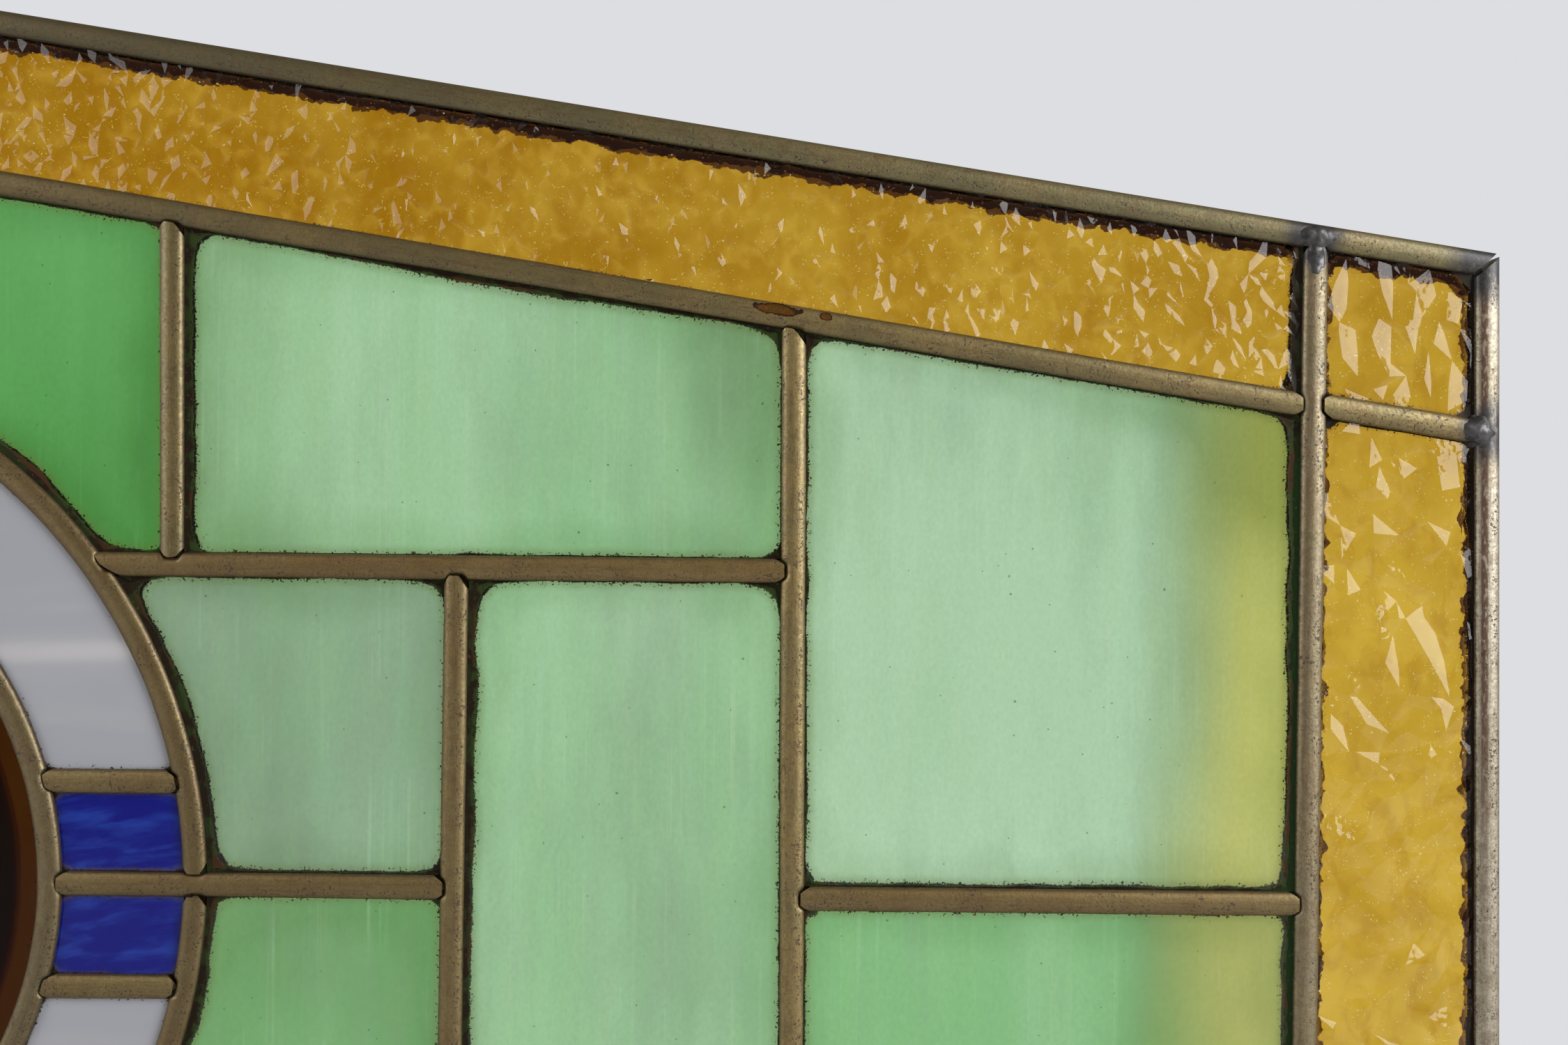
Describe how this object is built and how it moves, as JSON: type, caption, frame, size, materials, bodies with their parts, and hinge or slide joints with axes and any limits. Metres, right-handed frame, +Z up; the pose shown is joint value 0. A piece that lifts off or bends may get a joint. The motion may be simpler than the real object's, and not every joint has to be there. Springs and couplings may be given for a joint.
{
  "type": "stained glass window panel",
  "caption": "Flat leaded transom panel with a shallow gable top, a round rosette and coloured glass panes held in half-round brass came.",
  "frame": {"origin": "middle of the flat underside of the frame's foot came", "axes": "+X to the right seen from the front, +Y from the front face to the back face, +Z up"},
  "size_m": [0.9732, 0.0096, 0.486],
  "materials": {
    "came": "tarnished khaki brass came, satin, with brown and dark stains and worn bright flanks",
    "solder": "dull dark grey soft solder with brighter rubbed spots",
    "putty": "old dark glazing cement with moss green and brown dirt",
    "amber_glass": "amber hammered cathedral glass with a wavy, glossy front",
    "green_glass": "pale green streaky rolled glass with yellow-green wisps",
    "deep_green_glass": "saturated green streaky rolled glass",
    "white_glass": "white opal glass with a soft pale streak",
    "blue_glass": "blue opal glass with paler wisps",
    "brown_glass": "dark amber brown glass, lighter at its rim"
  },
  "bodies": {
    "root": {"border_foot_left": "came", "border_foot_right": "came", "border_gable_left": "came", "border_gable_right": "came", "border_side_left": "came", "border_side_right": "came", "corner_came_lower_left": "came", "corner_came_lower_right": "came", "corner_came_upper_left": "came", "corner_came_upper_right": "came", "frame_foot": "came", "frame_gable_left": "came", "frame_gable_right": "came", "frame_side_left": "came", "frame_side_right": "came", "glass_amber_corner_lower_left": "amber_glass", "glass_amber_corner_lower_right": "amber_glass", "glass_amber_corner_upper_left": "amber_glass", "glass_amber_corner_upper_right": "amber_glass", "glass_amber_foot_left": "amber_glass", "glass_amber_foot_right": "amber_glass", "glass_amber_gable_left": "amber_glass", "glass_amber_gable_right": "amber_glass", "glass_amber_side_left": "amber_glass", "glass_amber_side_right": "amber_glass", "glass_blue_foot_left": "blue_glass", "glass_blue_foot_right": "blue_glass", "glass_blue_side_lower_left": "blue_glass", "glass_blue_side_lower_right": "blue_glass", "glass_blue_side_upper_left": "blue_glass", "glass_blue_side_upper_right": "blue_glass", "glass_blue_top_left": "blue_glass", "glass_blue_top_right": "blue_glass", "glass_disc": "brown_glass", "glass_green_crown_left": "deep_green_glass", "glass_green_crown_right": "deep_green_glass", "glass_green_foot_left": "deep_green_glass", "glass_green_foot_right": "deep_green_glass", "glass_green_lower_left": "green_glass", "glass_green_lower_right": "green_glass", "glass_green_middle_left": "green_glass", "glass_green_middle_right": "green_glass", "glass_green_ring_lower_left": "green_glass", "glass_green_ring_lower_right": "green_glass", "glass_green_ring_upper_left": "green_glass", "glass_green_ring_upper_right": "green_glass", "glass_green_tall_lower_left": "green_glass", "glass_green_tall_lower_right": "green_glass", "glass_green_tall_upper_left": "green_glass", "glass_green_tall_upper_right": "green_glass", "glass_green_upper_left": "green_glass", "glass_green_upper_right": "green_glass", "glass_white_lower_left": "white_glass", "glass_white_lower_right": "white_glass", "glass_white_upper_left": "white_glass", "glass_white_upper_right": "white_glass", "lattice_left": "came", "lattice_right": "came", "ring_inner": "came", "rosette_cames": "came"}
  },
  "joints": []
}
